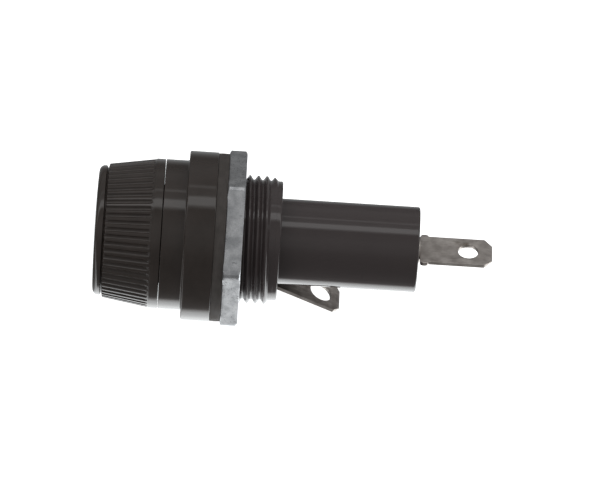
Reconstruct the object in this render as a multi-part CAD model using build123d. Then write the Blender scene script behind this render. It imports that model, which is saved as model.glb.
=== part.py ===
"""Panel-mount cartridge fuse holder with a bayonet knob, in millimetres.

The origin is the centre of the flange's rear face, where the panel seats. +X runs along
the axis from the knob to the end terminal, and the side terminal points down, towards -Z.
Each function makes one piece, and each piece is written to parts/NAME.step.
"""

from build123d import *
import math
import os

# ---- driving dimensions: the moulded body
HEAD_FRONT_X = -6.46
HEAD_R = 9.28
FLANGE_FRONT_X = -3.61
FLANGE_R = 10.50
THREAD_MAJOR_R = 15.875 / 2
THREAD_PITCH = 25.4 / 24
THREAD_DEPTH = 0.48 * THREAD_PITCH
THREAD_ROOT_R = THREAD_MAJOR_R - THREAD_DEPTH
THREAD_RUN_X = 7.05
THREAD_END_X = 7.50
THREAD_START_DEG = 170
THREAD_LEAST_VOLUME = 60.0
PILOT_R = 7.40
PILOT_END_X = 8.12
TUBE_R = 5.30
TUBE_END_X = 25.25
STEM_BORE_R = 6.30
STEM_BORE_END_X = 1.60
CONTACT_BORE_R = 5.30
CONTACT_BORE_END_X = 6.40
TUBE_BORE_R = 4.30
TUBE_BORE_END_X = 23.80

# ---- the knob
KNOB_FRONT_X = -14.92
KNOB_DOME_R = 116.0
KNOB_RIM_FILLET = 0.70
KNOB_REAR_X = -6.54
KNOB_RIM_R = 8.06
KNOB_RIM_END_X = -13.74
KNOB_GROOVE_END_X = -13.42
KNOB_GROOVE_DEPTH = 0.36
KNOB_CONE_R0 = 8.28
KNOB_CONE_R1 = 9.20
KNOB_CONE_END_X = -7.66
KNOB_BAND_R = 9.275
FLUTES = 60
FLUTE_R = 0.30
FLUTE_DEPTH = 0.20
STEM_R = 6.00
STEM_END_X = -0.60
KNOB_BORE_R = 4.60
KNOB_BORE_X = -12.60

# ---- the bayonet
LUGS = 2
LUG_WIDTH = 2.60
LUG_X = (-2.60, -1.10)
LUG_R = 7.40
LUG_GAP = 0.35
TURN_DEG = 60

# ---- the fuse, 6.35 mm across and 31.75 mm long
FUSE_X0 = -11.85
FUSE_LENGTH = 31.75
FUSE_R = 3.175
FUSE_CAP_LENGTH = 6.10
FUSE_CAP_WALL = 0.25
GLASS_R = 2.90
GLASS_WALL = 0.70
ELEMENT_R = 0.15
SOLDER_START = 1.00

# ---- the metal parts
STRIP_T = 0.50
STRIP_W = 4.75
STRIP_BEVEL_T = 0.17
CLIP_WALL = 0.35
CLIP_R = 3.55
CLIP_END_X = 5.60
CLIP_SLITS = 4
SHEET_T = 0.40
RIVET_R = 0.90
RIVET_SHANK = 1.20
RIVET_HEAD_R = 1.60
RIVET_HEAD_T = 0.25

EYELET_R = 1.20
EYELET_BORE_R = 0.85
EYELET_FLANGE_R = 1.65
EYELET_FLANGE_T = 0.30
TONGUE_W = 1.50
STAKE_W = 2.10
STAKE_LENGTH = 0.45

END_TERMINAL_TIP_X = 34.50
END_HOLE_X = 31.50
END_HOLE_R = 1.25
END_CORNER = 1.00
END_EAR_W = 5.35
END_EAR_LENGTH = 1.05
END_BEVEL_LENGTH = 0.85

SIDE_STRIP_R = 5.70
SIDE_START_X = 4.40
SIDE_RIVET_X = 5.35
SIDE_RIVET_R = 0.60
SIDE_RIVET_HEAD_R = 0.85
SIDE_RIVET_HEAD_Z = (-4.82, -4.52)
CONTACT_FINGERS = 6
SIDE_BEND_X = 8.24
SIDE_BEND_DEG = 24.2
SIDE_TIP_S = 8.56
SIDE_HOLE_S = 5.89
SIDE_HOLE_R = 1.45
SIDE_CORNER = 0.80
SIDE_BEVEL_LENGTH = 0.50

PLUNGER_X = FUSE_X0 + FUSE_LENGTH + 0.05
PLUNGER_R = 4.22
PLUNGER_SKIRT = 1.60
SPRING_COIL_R = 3.10
SPRING_WIRE_R = 0.20
SPRING_TURNS = 3.5

# ---- the panel hardware
WASHER_T = 1.30
WASHER_R = 10.42
WASHER_BORE_R = 8.25
NUT_T = 2.20
NUT_FLATS = 19.05
NUT_CORNER_R = 10.86
NUT_PHASE_DEG = 45.3
NUT_EDGE = 0.30
THREAD_CLEARANCE = 0.06


# ---- helpers

def turned(points, rounds=()):
    """A solid of revolution about X. points are (x, r); rounds are (x, r, fillet)."""
    face = make_face(Polyline(*[(x, r) for x, r in points], close=True))
    for x, r, radius in rounds:
        corner = face.vertices().sort_by_distance((x, r, 0))[0]
        face = fillet(corner, radius)
    return revolve(face, Axis.X, 360)


def tube(x0, x1, r_out, r_in=0.0):
    """A plain disc or ring between two stations."""
    return turned([(x0, r_in), (x1, r_in), (x1, r_out), (x0, r_out)])


def sector(x0, x1, r_out, r_in, start_deg, sweep_deg):
    """Part of a ring. Angles are by the right-hand rule about +X, from +Y."""
    face = make_face(Polyline((x0, r_in), (x1, r_in), (x1, r_out), (x0, r_out), close=True))
    return Rot(start_deg, 0, 0) * revolve(face, Axis.X, sweep_deg)


def block(x0, x1, y0, y1, z0, z1):
    """A box between two corners."""
    size = (x1 - x0, y1 - y0, z1 - z0)
    return Pos((x0 + x1) / 2, (y0 + y1) / 2, (z0 + z1) / 2) * Box(*size)


def around(piece, count, start_deg=0.0):
    """Copies of a piece spaced evenly about the axis."""
    return [Rot(start_deg + k * 360 / count, 0, 0) * piece for k in range(count)]


def spring_coil(x0, x1, coil_r, wire_r, turns):
    """A helical spring along X, its wire's outside between two stations."""
    length = x1 - x0 - 2 * wire_r
    path = Helix(length / turns, length, coil_r, center=(x0 + wire_r, 0, 0), direction=(1, 0, 0))
    wire = Plane(origin=path @ 0, z_dir=path % 0) * Circle(wire_r)
    return sweep(wire, path=path, is_frenet=True)


def terminal_blade(length, corner, bevel_length):
    """A flat blade along +X from the origin, its tip cornered and coined thin."""
    half_w, half_t = STRIP_W / 2, STRIP_T / 2
    outline = make_face(Polyline(
        (0, -half_w), (length - corner, -half_w), (length, corner - half_w),
        (length, half_w - corner), (length - corner, half_w), (0, half_w),
        close=True,
    ))
    blade = Pos(0, 0, -half_t) * extrude(outline, STRIP_T)
    for side in (1, -1):
        wedge = make_face(Polyline(
            (length - bevel_length, side * half_t), (length, side * (half_t - STRIP_BEVEL_T)),
            (length + 1, side * (half_t - STRIP_BEVEL_T)), (length + 1, side * (half_t + 1)),
            (length - bevel_length, side * (half_t + 1)), close=True,
        ))
        blade -= extrude(Plane.XZ * wedge, STRIP_W, both=True)
    return blade


# ---- the moulded body

def thread_ridge():
    """One helical ridge, sunk a little into the core, along the whole barrel.

    It stands a little past the crest, so that trimming it leaves the crest's flat.
    """
    sink = 0.08
    proud = 0.03
    start = 0.35
    root_half = THREAD_PITCH * 0.42
    crest_half = THREAD_PITCH * 0.085
    path = Helix(THREAD_PITCH, THREAD_RUN_X - start, THREAD_ROOT_R,
                 center=(start, 0, 0), direction=(1, 0, 0))
    section = make_face(Polyline(
        (-root_half, -sink), (root_half, -sink),
        (crest_half, THREAD_DEPTH + proud), (-crest_half, THREAD_DEPTH + proud), close=True,
    ))
    origin = path @ 0
    outward = Vector(0, origin.Y, origin.Z).normalized()
    across = Vector(1, 0, 0).cross(outward)
    ridge = sweep(Plane(origin=origin, x_dir=(1, 0, 0), z_dir=across) * section,
                  path=path, is_frenet=True)
    return Rot(THREAD_START_DEG, 0, 0) * ridge


def body_moulding():
    """Head, flange, threaded barrel and tube in one moulding, with the bayonet inside."""
    core = turned(
        [
            (HEAD_FRONT_X, 0), (HEAD_FRONT_X, HEAD_R), (FLANGE_FRONT_X, HEAD_R),
            (FLANGE_FRONT_X, FLANGE_R), (0, FLANGE_R), (0, THREAD_ROOT_R),
            (THREAD_END_X, THREAD_ROOT_R), (THREAD_END_X, PILOT_R), (PILOT_END_X, PILOT_R),
            (PILOT_END_X, TUBE_R), (TUBE_END_X, TUBE_R), (TUBE_END_X, 0),
        ],
        [
            (HEAD_FRONT_X, HEAD_R, 0.06), (FLANGE_FRONT_X, HEAD_R, 0.20),
            (FLANGE_FRONT_X, FLANGE_R, 0.18), (0, FLANGE_R, 0.12),
            (PILOT_END_X, PILOT_R, 0.20), (TUBE_END_X, TUBE_R, 0.25),
        ],
    )
    envelope = turned([
        (0, 0), (0, THREAD_MAJOR_R), (THREAD_END_X - THREAD_DEPTH, THREAD_MAJOR_R),
        (THREAD_END_X, THREAD_ROOT_R), (THREAD_END_X, 0),
    ])
    thread = thread_ridge() & envelope
    body = core + thread
    if body.volume - core.volume < THREAD_LEAST_VOLUME:
        raise ValueError("the barrel lost its thread when it was trimmed")
    body -= turned([
        (HEAD_FRONT_X, 0), (HEAD_FRONT_X, STEM_BORE_R), (STEM_BORE_END_X, STEM_BORE_R),
        (STEM_BORE_END_X, CONTACT_BORE_R), (CONTACT_BORE_END_X, CONTACT_BORE_R),
        (CONTACT_BORE_END_X, TUBE_BORE_R), (TUBE_BORE_END_X, TUBE_BORE_R),
        (TUBE_BORE_END_X, 0),
    ])
    return body - bayonet_channels() - side_terminal_slot() - eyelet_hole()


def bayonet_channels():
    """Entry slots from the head's front face, each with a pocket to turn into."""
    top_r = LUG_R + LUG_GAP
    half = LUG_WIDTH / 2 + LUG_GAP
    pocket_x = (LUG_X[0] - LUG_GAP, LUG_X[1] + LUG_GAP)
    spread = math.degrees(math.asin(half / STEM_R))
    entry = block(HEAD_FRONT_X - 1, pocket_x[1], 0, top_r, -half, half)
    pocket = sector(*pocket_x, top_r, 0, -spread, TURN_DEG + 2 * spread)
    core = tube(HEAD_FRONT_X - 1, pocket_x[1], STEM_BORE_R)
    return around((entry + pocket) - core, LUGS)


def side_terminal_slot():
    """The slot for the side terminal, open to the contact bore and through the shoulder."""
    gap = 0.02
    half_t, half_w = STRIP_T / 2 + gap, STRIP_W / 2 + gap
    bottom_z = -SIDE_STRIP_R - half_t
    through = block(STEM_BORE_END_X, PILOT_END_X + 1, -half_w, half_w,
                    bottom_z, -SIDE_STRIP_R + half_t)
    keyway = block(STEM_BORE_END_X, CONTACT_BORE_END_X, -half_w, half_w,
                   bottom_z, -CONTACT_BORE_R + 0.8)
    return through + keyway


def eyelet_hole():
    """The hole in the tube's end wall."""
    return tube(TUBE_BORE_END_X - 1, TUBE_END_X + 1, EYELET_R)


# ---- metal parts fixed in the body

def front_contact():
    """A pressed ring in the barrel with spring fingers that bear on the knob's clip."""
    wall = CLIP_WALL
    outer_r = CONTACT_BORE_R - 0.01
    touch_r = CLIP_R + 0.06
    touch_x = 2.90
    ring_x = 4.60
    band = turned([
        (CONTACT_BORE_END_X, outer_r), (ring_x, outer_r), (touch_x, touch_r + wall),
        (STEM_BORE_END_X + 0.4, touch_r + wall + 0.55), (STEM_BORE_END_X + 0.4, touch_r + 0.55),
        (touch_x, touch_r), (ring_x, outer_r - wall), (CONTACT_BORE_END_X, outer_r - wall),
    ])
    slit = block(STEM_BORE_END_X, ring_x + 0.3, 0, CONTACT_BORE_R + 1, -0.4, 0.4)
    for cut in around(slit, CONTACT_FINGERS, 180 / CONTACT_FINGERS):
        band -= cut
    return band - side_rivet_hole()


def side_rivet_hole():
    """The hole where the side terminal is riveted to the front contact."""
    return Pos(SIDE_RIVET_X, 0, -CONTACT_BORE_R) * Cylinder(SIDE_RIVET_R, 4)


def side_terminal_rivet():
    """The rivet through the front contact and the side terminal, its head inside."""
    tail_z = -SIDE_STRIP_R - STRIP_T / 2
    head_z, top_z = SIDE_RIVET_HEAD_Z
    outline = make_face(Polyline(
        (0, tail_z), (SIDE_RIVET_R, tail_z), (SIDE_RIVET_R, head_z),
        (SIDE_RIVET_HEAD_R, head_z), (SIDE_RIVET_HEAD_R, top_z), (0, top_z), close=True,
    ))
    return Pos(SIDE_RIVET_X, 0, 0) * revolve(Plane.XZ * outline, Axis.Z, 360)


def side_terminal():
    """The strip from the front contact out through the shoulder, bent outwards."""
    inner = block(SIDE_START_X, SIDE_BEND_X, -STRIP_W / 2, STRIP_W / 2,
                  -SIDE_STRIP_R - STRIP_T / 2, -SIDE_STRIP_R + STRIP_T / 2)
    inner -= side_rivet_hole()
    bend = Pos(SIDE_BEND_X, 0, -SIDE_STRIP_R) * Rot(0, SIDE_BEND_DEG, 0)
    blade = bend * terminal_blade(SIDE_TIP_S, SIDE_CORNER, SIDE_BEVEL_LENGTH)
    knuckle = Pos(SIDE_BEND_X, 0, -SIDE_STRIP_R) * Rot(90, 0, 0) * Cylinder(STRIP_T / 2, STRIP_W)
    hole = bend * Pos(SIDE_HOLE_S, 0, 0) * Cylinder(SIDE_HOLE_R, 4 * STRIP_T)
    return (inner + blade + knuckle) - hole


def end_terminal():
    """The blade on the axis, with a tongue through the eyelet that is staked inside."""
    root_x = TUBE_END_X + EYELET_FLANGE_T
    length = END_TERMINAL_TIP_X - root_x
    blade = Pos(root_x, 0, 0) * terminal_blade(length, END_CORNER, END_BEVEL_LENGTH)
    ear = block(root_x, root_x + END_EAR_LENGTH, -END_EAR_W / 2, END_EAR_W / 2,
                -STRIP_T / 2, STRIP_T / 2)
    ear = fillet(ear.edges().filter_by(Axis.Z), 0.45)
    stake_x = seat_x() - STAKE_LENGTH
    tongue = block(stake_x, root_x + 0.1, -TONGUE_W / 2, TONGUE_W / 2,
                   -STRIP_T / 2, STRIP_T / 2)
    stake = block(stake_x, seat_x(), -STAKE_W / 2, STAKE_W / 2, -STRIP_T / 2, STRIP_T / 2)
    hole = Pos(END_HOLE_X, 0, 0) * Cylinder(END_HOLE_R, 4 * STRIP_T)
    return (blade + ear + tongue + stake) - hole


def seat_x():
    """The front face of the spring seat."""
    return TUBE_BORE_END_X - SHEET_T


def end_eyelet():
    """A flanged eyelet that lines the end wall's hole under the end terminal."""
    return turned(
        [
            (TUBE_BORE_END_X, EYELET_BORE_R), (TUBE_BORE_END_X, EYELET_R),
            (TUBE_END_X, EYELET_R), (TUBE_END_X, EYELET_FLANGE_R),
            (TUBE_END_X + EYELET_FLANGE_T, EYELET_FLANGE_R),
            (TUBE_END_X + EYELET_FLANGE_T, EYELET_BORE_R),
        ],
        [(TUBE_END_X + EYELET_FLANGE_T, EYELET_FLANGE_R, 0.12)],
    )


def spring_seat():
    """A metal disc against the end wall, which carries current from spring to terminal."""
    disc = tube(seat_x(), TUBE_BORE_END_X, TUBE_BORE_R - 0.05)
    gap = 0.01
    return disc - block(seat_x() - 1, TUBE_BORE_END_X + 1,
                        -TONGUE_W / 2 - gap, TONGUE_W / 2 + gap,
                        -STRIP_T / 2 - gap, STRIP_T / 2 + gap)


# ---- the sprung contact behind the fuse

def plunger_cup():
    """The cup that the spring presses against the fuse's rear cap."""
    x0, wall = PLUNGER_X, SHEET_T
    return turned(
        [
            (x0, 0), (x0, PLUNGER_R), (x0 + PLUNGER_SKIRT, PLUNGER_R),
            (x0 + PLUNGER_SKIRT, PLUNGER_R - wall), (x0 + wall, PLUNGER_R - wall),
            (x0 + wall, 0),
        ],
        [(x0, PLUNGER_R, 0.30)],
    )


def contact_spring():
    """The coil spring between the plunger cup and its seat."""
    return spring_coil(PLUNGER_X + SHEET_T + 0.02, seat_x() - 0.02, SPRING_COIL_R,
                       SPRING_WIRE_R, SPRING_TURNS)


# ---- the fuse

def fuse_cap(x0, inward):
    """A pressed end cap; inward is +1 when the glass lies towards +X."""
    x_in = x0 + inward * FUSE_CAP_WALL
    x_end = x0 + inward * FUSE_CAP_LENGTH
    return turned(
        [
            (x0, 0), (x0, FUSE_R), (x_end, FUSE_R), (x_end, FUSE_R - FUSE_CAP_WALL),
            (x_in, FUSE_R - FUSE_CAP_WALL), (x_in, 0),
        ],
        [(x0, FUSE_R, 0.30)],
    )


def fuse_glass():
    """The glass tube between the two caps."""
    end = FUSE_CAP_WALL + 0.6
    x1 = FUSE_X0 + FUSE_LENGTH - end
    return tube(FUSE_X0 + end, x1, GLASS_R, GLASS_R - GLASS_WALL)


def fuse_element():
    """The wire that melts, along the axis between the solder beads."""
    end = FUSE_CAP_WALL + SOLDER_START
    return tube(FUSE_X0 + end, FUSE_X0 + FUSE_LENGTH - end, ELEMENT_R)


def fuse_solder(x0, inward):
    """The bead of solder that joins the element to a cap."""
    x_in = x0 + inward * FUSE_CAP_WALL
    x_tip = x_in + inward * 1.5
    bead = turned([(x_in, 0), (x_in, 1.6), (x_in + inward * 0.5, 1.3), (x_tip, 0.4), (x_tip, 0)])
    x_wire = x_in + inward * SOLDER_START
    hole = turned([(x_wire, 0), (x_wire, ELEMENT_R), (x_tip + inward, ELEMENT_R),
                   (x_tip + inward, 0)])
    return bead - hole


# ---- the knob

def knob_shell():
    """The fluted knob with its stem and the two bayonet lugs."""
    groove_r = KNOB_RIM_R - KNOB_GROOVE_DEPTH
    groove_x = (KNOB_RIM_END_X + KNOB_GROOVE_END_X) / 2
    shell = turned(
        [
            (KNOB_FRONT_X, 0), (KNOB_FRONT_X, KNOB_RIM_R), (KNOB_RIM_END_X, KNOB_RIM_R),
            (groove_x, groove_r), (KNOB_GROOVE_END_X, KNOB_CONE_R0),
            (KNOB_CONE_END_X, KNOB_CONE_R1), (KNOB_CONE_END_X, KNOB_BAND_R),
            (KNOB_REAR_X, KNOB_BAND_R), (KNOB_REAR_X, STEM_R), (STEM_END_X, STEM_R),
            (STEM_END_X, 0),
        ],
        [(KNOB_REAR_X, KNOB_BAND_R, 0.06), (STEM_END_X, STEM_R, 0.25)],
    )
    shell = domed(shell)
    shell -= tube(KNOB_BORE_X, STEM_END_X + 1, KNOB_BORE_R)
    shell -= tube(KNOB_BORE_X - RIVET_SHANK, KNOB_BORE_X + 1, RIVET_R)
    for cutter in flute_cutters():
        shell -= cutter
    lug = block(*LUG_X, STEM_R - 0.5, LUG_R, -LUG_WIDTH / 2, LUG_WIDTH / 2)
    for piece in around(lug, LUGS):
        shell += piece
    return shell


def domed(shell):
    """The knob with its front face slightly domed and its rim's edge rounded."""
    shell &= Pos(KNOB_FRONT_X + KNOB_DOME_R, 0, 0) * Sphere(KNOB_DOME_R)
    rim = shell.edges().filter_by(GeomType.CIRCLE).sort_by(Axis.X)[0]
    return fillet(rim, KNOB_RIM_FILLET)


def flute_cutters():
    """Round-bottomed cutters along the cone, each stopping short of the smooth band."""
    rise = KNOB_CONE_R1 - KNOB_CONE_R0
    run = KNOB_CONE_END_X - KNOB_GROOVE_END_X
    slope_deg = math.degrees(math.atan2(rise, run))
    length = math.hypot(rise, run)
    stop = 0.10 + FLUTE_R
    axis_r = KNOB_CONE_R0 + FLUTE_R - FLUTE_DEPTH
    rod = Rot(0, 90, 0) * Cylinder(FLUTE_R, length - stop + 0.3,
                                   align=(Align.CENTER, Align.CENTER, Align.MIN))
    cutter = Pos(-0.3, 0, 0) * rod + Pos(length - stop, 0, 0) * Sphere(FLUTE_R)
    placed = Pos(KNOB_GROOVE_END_X, axis_r, 0) * Rot(0, 0, slope_deg) * cutter
    return around(placed, FLUTES)


def fuse_clip():
    """The pressed tube in the knob that grips the fuse's front cap."""
    x0 = KNOB_BORE_X
    clip = turned([
        (x0, RIVET_R), (x0, KNOB_BORE_R - 0.05), (x0 + SHEET_T, KNOB_BORE_R - 0.05),
        (x0 + SHEET_T, CLIP_R), (CLIP_END_X, CLIP_R), (CLIP_END_X, CLIP_R - CLIP_WALL),
        (x0 + SHEET_T, CLIP_R - CLIP_WALL), (x0 + SHEET_T, RIVET_R),
    ])
    slit = block(-6.0, CLIP_END_X + 1, 0, CLIP_R + 1, -0.35, 0.35)
    for cut in around(slit, CLIP_SLITS, 45):
        clip -= cut
    return clip


def clip_rivet():
    """The rivet that holds the clip to the knob."""
    head_x = KNOB_BORE_X + SHEET_T
    return turned(
        [
            (KNOB_BORE_X - RIVET_SHANK, 0), (KNOB_BORE_X - RIVET_SHANK, RIVET_R),
            (head_x, RIVET_R), (head_x, RIVET_HEAD_R), (head_x + RIVET_HEAD_T, RIVET_HEAD_R),
            (head_x + RIVET_HEAD_T, 0),
        ],
        [(head_x + RIVET_HEAD_T, RIVET_HEAD_R, 0.15)],
    )


# ---- the panel hardware

def panel_washer():
    """The soft washer that seals the panel hole."""
    return turned(
        [(0, WASHER_BORE_R), (0, WASHER_R), (WASHER_T, WASHER_R), (WASHER_T, WASHER_BORE_R)],
        [(0, WASHER_R, 0.12), (WASHER_T, WASHER_R, 0.12)],
    )


def panel_nut():
    """The thin hexagonal nut, its corners turned down, one flat facing NUT_PHASE_DEG."""
    x0, x1 = WASHER_T, WASHER_T + NUT_T
    bore_r = THREAD_MAJOR_R + THREAD_CLEARANCE
    corner_run = NUT_EDGE * 0.6
    ring = turned([
        (x0, bore_r + NUT_EDGE), (x0 + NUT_EDGE, bore_r), (x1 - NUT_EDGE, bore_r),
        (x1, bore_r + NUT_EDGE), (x1, NUT_CORNER_R - NUT_EDGE),
        (x1 - corner_run, NUT_CORNER_R), (x0 + corner_run, NUT_CORNER_R),
        (x0, NUT_CORNER_R - NUT_EDGE),
    ])
    hexagon = RegularPolygon(NUT_FLATS / 2, 6, major_radius=False,
                             rotation=30 - NUT_PHASE_DEG)
    prism = extrude(Plane.YZ * hexagon, x1 + 1)
    return ring & prism


# ---- write every piece

PIECES = {
    "body_moulding": body_moulding,
    "front_contact": front_contact,
    "side_terminal": side_terminal,
    "side_terminal_rivet": side_terminal_rivet,
    "end_terminal": end_terminal,
    "end_eyelet": end_eyelet,
    "spring_seat": spring_seat,
    "plunger_cup": plunger_cup,
    "contact_spring": contact_spring,
    "fuse_glass": fuse_glass,
    "fuse_cap_front": lambda: fuse_cap(FUSE_X0, 1),
    "fuse_cap_rear": lambda: fuse_cap(FUSE_X0 + FUSE_LENGTH, -1),
    "fuse_element": fuse_element,
    "fuse_solder_front": lambda: fuse_solder(FUSE_X0, 1),
    "fuse_solder_rear": lambda: fuse_solder(FUSE_X0 + FUSE_LENGTH, -1),
    "knob_shell": knob_shell,
    "fuse_clip": fuse_clip,
    "clip_rivet": clip_rivet,
    "panel_washer": panel_washer,
    "panel_nut": panel_nut,
}

os.makedirs("parts", exist_ok=True)
for name, make in PIECES.items():
    export_step(make(), f"parts/{name}.step")
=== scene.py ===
"""Looks for the cartridge fuse holder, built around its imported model.

Lengths are in millimetres until a mesh is finished. X is the axis, from the knob to the end
terminal. Angles about the axis are by the right-hand rule, from +Y.
"""

import math

import bmesh
import bpy
import numpy as np
from mathutils import Matrix, Vector


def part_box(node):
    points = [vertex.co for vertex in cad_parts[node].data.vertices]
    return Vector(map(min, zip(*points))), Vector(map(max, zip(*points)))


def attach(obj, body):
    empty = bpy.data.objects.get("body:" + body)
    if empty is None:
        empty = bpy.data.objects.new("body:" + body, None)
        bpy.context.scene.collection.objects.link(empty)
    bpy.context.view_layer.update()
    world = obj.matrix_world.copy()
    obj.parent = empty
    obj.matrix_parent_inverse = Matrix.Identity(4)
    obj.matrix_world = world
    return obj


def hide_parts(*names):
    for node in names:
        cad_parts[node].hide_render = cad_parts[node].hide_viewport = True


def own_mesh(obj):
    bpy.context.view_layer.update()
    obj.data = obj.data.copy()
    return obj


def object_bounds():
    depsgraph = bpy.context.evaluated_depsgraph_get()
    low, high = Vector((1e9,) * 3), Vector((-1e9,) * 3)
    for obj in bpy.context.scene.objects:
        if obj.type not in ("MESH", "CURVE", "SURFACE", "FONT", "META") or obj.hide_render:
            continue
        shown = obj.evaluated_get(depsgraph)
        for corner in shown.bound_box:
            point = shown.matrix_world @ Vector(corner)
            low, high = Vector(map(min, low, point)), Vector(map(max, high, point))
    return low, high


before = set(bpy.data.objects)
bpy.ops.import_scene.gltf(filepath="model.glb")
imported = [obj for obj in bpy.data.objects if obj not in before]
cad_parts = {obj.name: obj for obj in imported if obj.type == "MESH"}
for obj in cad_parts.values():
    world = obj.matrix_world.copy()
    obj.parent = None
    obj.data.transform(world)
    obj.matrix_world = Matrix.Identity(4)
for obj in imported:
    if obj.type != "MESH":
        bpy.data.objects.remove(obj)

CAD_BOX = [list(corner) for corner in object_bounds()]
MM = 0.001
FULL_TURN = 2 * math.pi


def box_mm(node):
    """A CAD node's lowest and highest corners in millimetres."""
    low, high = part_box(node)
    return low / MM, high / MM


# ---- sizes: the outer stations come from the imported model, the steps between them are named here

BODY_LOW, BODY_HIGH = box_mm("body_moulding")
HEAD_FRONT_X, TUBE_END_X, FLANGE_R = BODY_LOW.x, BODY_HIGH.x, BODY_HIGH.y
HEAD_R = 9.28
FLANGE_FRONT_X = -3.61
THREAD_MAJOR_R = 15.875 / 2
THREAD_PITCH = 25.4 / 24
THREAD_DEPTH = 0.48 * THREAD_PITCH
THREAD_ROOT_R = THREAD_MAJOR_R - THREAD_DEPTH
THREAD_RUN_X = 7.05
THREAD_END_X = 7.50
PILOT_R = 7.40
PILOT_END_X = 8.12
TUBE_R = 5.30
STEM_BORE_R = 6.30
STEM_BORE_END_X = 1.60
CONTACT_BORE_R = 5.30
CONTACT_BORE_END_X = 6.40
TUBE_BORE_R = 4.30
TUBE_BORE_END_X = 23.80

KNOB_LOW, KNOB_HIGH = box_mm("knob_shell")
KNOB_FRONT_X, KNOB_STEM_END_X, KNOB_BAND_R = KNOB_LOW.x, KNOB_HIGH.x, KNOB_HIGH.y
KNOB_DOME_R = 116.0
KNOB_RIM_FILLET = 0.70
KNOB_REAR_X = -6.54
KNOB_RIM_R = 8.06
KNOB_RIM_END_X = -13.74
KNOB_GROOVE_END_X = -13.42
KNOB_GROOVE_DEPTH = 0.36
KNOB_CONE_R0 = 8.28
KNOB_CONE_R1 = 9.20
KNOB_CONE_END_X = -7.66
FLUTES = 60
FLUTE_R = 0.30
FLUTE_DEPTH = 0.20
FLUTE_EDGE_R = 0.07
KNOB_STEM_R = 6.00
KNOB_BORE_R = 4.60
KNOB_BORE_X = -12.60
RIVET_R = 0.90
RIVET_SHANK = 1.20

LUG_WIDTH = 2.60
LUG_X = (-2.60, -1.10)
LUG_R = 7.40
LUG_GAP = 0.35
LUG_TURN_DEG = 60

WASHER_LOW, WASHER_HIGH = box_mm("panel_washer")
WASHER_BORE_R = 8.25
NUT_LOW, NUT_HIGH = box_mm("panel_nut")
NUT_FLATS = 19.05
NUT_CORNER_R = 10.86
NUT_PHASE_DEG = 45.3
NUT_EDGE = 0.30
NUT_BORE_R = THREAD_MAJOR_R + 0.06

STRIP_T = 0.50
STRIP_W = 4.75
STRIP_BEVEL_T = 0.17
END_LOW, END_HIGH = box_mm("end_terminal")
END_HOLE_X = 31.50
END_HOLE_R = 1.25
END_CORNER = 1.00
END_EAR_LENGTH = 1.05
END_BEVEL_LENGTH = 0.85
SEAT_X = box_mm("spring_seat")[0].x
TONGUE_W = 1.50
STAKE_W = 2.10
EYELET_LOW, EYELET_HIGH = box_mm("end_eyelet")
EYELET_BORE_R = 0.85
EYELET_R = 1.20
SIDE_STRIP_R = 5.70
SIDE_START_X = box_mm("side_terminal")[0].x
SIDE_RIVET_X = 5.35
SIDE_RIVET_R = 0.60
SIDE_BEND_X = 8.24
SIDE_BEND_DEG = 24.2
SIDE_TIP_S = 8.56
SIDE_HOLE_S = 5.89
SIDE_HOLE_R = 1.45
SIDE_CORNER = 0.80
SIDE_BEVEL_LENGTH = 0.50

GLASS_LOW, GLASS_HIGH = box_mm("fuse_glass")
GLASS_WALL = 0.70
CAP_WALL = 0.25
SPRING_LOW, SPRING_HIGH = box_mm("contact_spring")
SPRING_WIRE_R = 0.20
SPRING_TURNS = 3.5

LATHE_COLUMNS = 256
HOLE_SIDES = 56
SOFT_EDGE = 0.06
WELD = 0.0005


# ---- mesh helpers

def rounded(corners, steps=4):
    """Profile points (x, r); a corner given as (x, r, radius) becomes an arc."""
    points = []
    for i, corner in enumerate(corners):
        here = Vector(corner[:2])
        if len(corner) == 2:
            points.append(tuple(here))
            continue
        back = (Vector(corners[i - 1][:2]) - here).normalized()
        onward = (Vector(corners[(i + 1) % len(corners)][:2]) - here).normalized()
        half = back.angle(onward) / 2
        centre = here + (back + onward).normalized() * corner[2] / math.sin(half)
        start = (here + back * corner[2] / math.tan(half) - centre).normalized()
        end = (here + onward * corner[2] / math.tan(half) - centre).normalized()
        points += [tuple(centre + start.slerp(end, k / steps) * corner[2])
                   for k in range(steps + 1)]
    return points


def rings(stations, columns=LATHE_COLUMNS):
    """A grid of rings about X from (x, r) stations."""
    turn = np.arange(columns) * FULL_TURN / columns
    x = np.array([s[0] for s in stations])[:, None] + 0 * turn
    r = np.array([s[1] for s in stations])[:, None] + 0 * turn
    return np.stack([x, r * np.cos(turn), r * np.sin(turn)], axis=-1)


def skin(grid, closed):
    """Vertices and quads over a grid of rings; closed also joins its last ring to its first."""
    index = np.arange(grid.shape[0] * grid.shape[1]).reshape(grid.shape[:2])
    if closed:
        index = np.vstack([index, index[:1]])
    beside = np.roll(index, -1, axis=1)
    quads = np.stack([index[:-1], beside[:-1], beside[1:], index[1:]], axis=-1)
    return grid.reshape(-1, 3), quads.reshape(-1, 4)


def working_object(name, verts, faces):
    """An object whose mesh is still in millimetres, welded, with its faces outwards."""
    mesh = bpy.data.meshes.new(name)
    mesh.from_pydata(np.asarray(verts).tolist(), [], np.asarray(faces).tolist())
    item = bpy.data.objects.new(name, mesh)
    bpy.context.scene.collection.objects.link(item)
    edit_mesh(item)
    return item


def edit_mesh(item, change=None):
    """Runs any change on the object's mesh as a bmesh, then welds it and turns faces outwards."""
    bm = bmesh.new()
    bm.from_mesh(item.data)
    if change:
        change(bm)
    bmesh.ops.remove_doubles(bm, verts=bm.verts, dist=WELD)
    bmesh.ops.dissolve_degenerate(bm, edges=bm.edges, dist=WELD)
    bmesh.ops.recalc_face_normals(bm, faces=bm.faces)
    bm.to_mesh(item.data)
    bm.free()


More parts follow.
